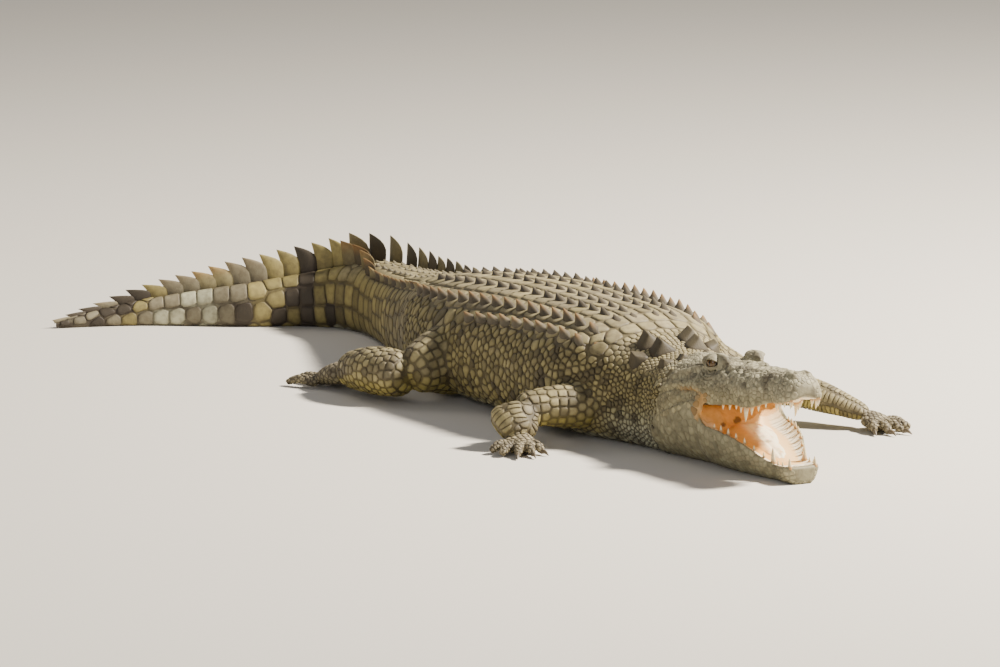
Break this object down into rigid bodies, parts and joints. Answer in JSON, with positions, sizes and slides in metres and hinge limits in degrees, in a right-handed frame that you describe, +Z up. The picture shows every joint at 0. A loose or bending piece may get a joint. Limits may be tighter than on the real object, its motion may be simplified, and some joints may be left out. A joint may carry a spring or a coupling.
{
  "type": "nile crocodile model",
  "caption": "Life-size still model of an adult Nile crocodile lying on its belly with its mouth open, its forelegs spread and its tail bent to its right.",
  "frame": {"origin": "centre of the flat of the belly on the ground, under the middle of the trunk", "axes": "+X forwards along the trunk to the head, +Y to the animal's left, +Z up"},
  "size_m": [3.0208, 1.4032, 0.3331],
  "materials": {
    "hide_back": "dry keeled scutes",
    "hide_flank": "dry scaly hide",
    "hide_tail": "dry scaly hide with dark bars",
    "hide_head": "dry bony hide",
    "hide_jaw": "smooth pale hide",
    "hide_leg": "dry scaly hide",
    "mouth_lining": "moist lining",
    "eye": "wet gloss",
    "claw": "dull horn"
  },
  "bodies": {
    "root": {"eye_left": "eye", "eye_right": "eye", "fore_left_claw_1": "claw", "fore_left_claw_2": "claw", "fore_left_claw_3": "claw", "fore_left_foot": "hide_leg", "fore_left_lower": "hide_leg", "fore_left_upper": "hide_leg", "fore_right_claw_1": "claw", "fore_right_claw_2": "claw", "fore_right_claw_3": "claw", "fore_right_foot": "hide_leg", "fore_right_lower": "hide_leg", "fore_right_upper": "hide_leg", "head_upper": "hide_head", "hind_left_claw_1": "claw", "hind_left_claw_2": "claw", "hind_left_claw_3": "claw", "hind_left_foot": "hide_leg", "hind_left_lower": "hide_leg", "hind_left_upper": "hide_leg", "hind_right_claw_1": "claw", "hind_right_claw_2": "claw", "hind_right_claw_3": "claw", "hind_right_foot": "hide_leg", "hind_right_lower": "hide_leg", "hind_right_upper": "hide_leg", "jaw_lower": "hide_jaw", "neck": "hide_flank", "tail_1": "hide_tail", "tail_2": "hide_tail", "tail_3": "hide_tail", "tail_4": "hide_tail", "tongue": "mouth_lining", "trunk": "hide_back"}
  },
  "joints": []
}
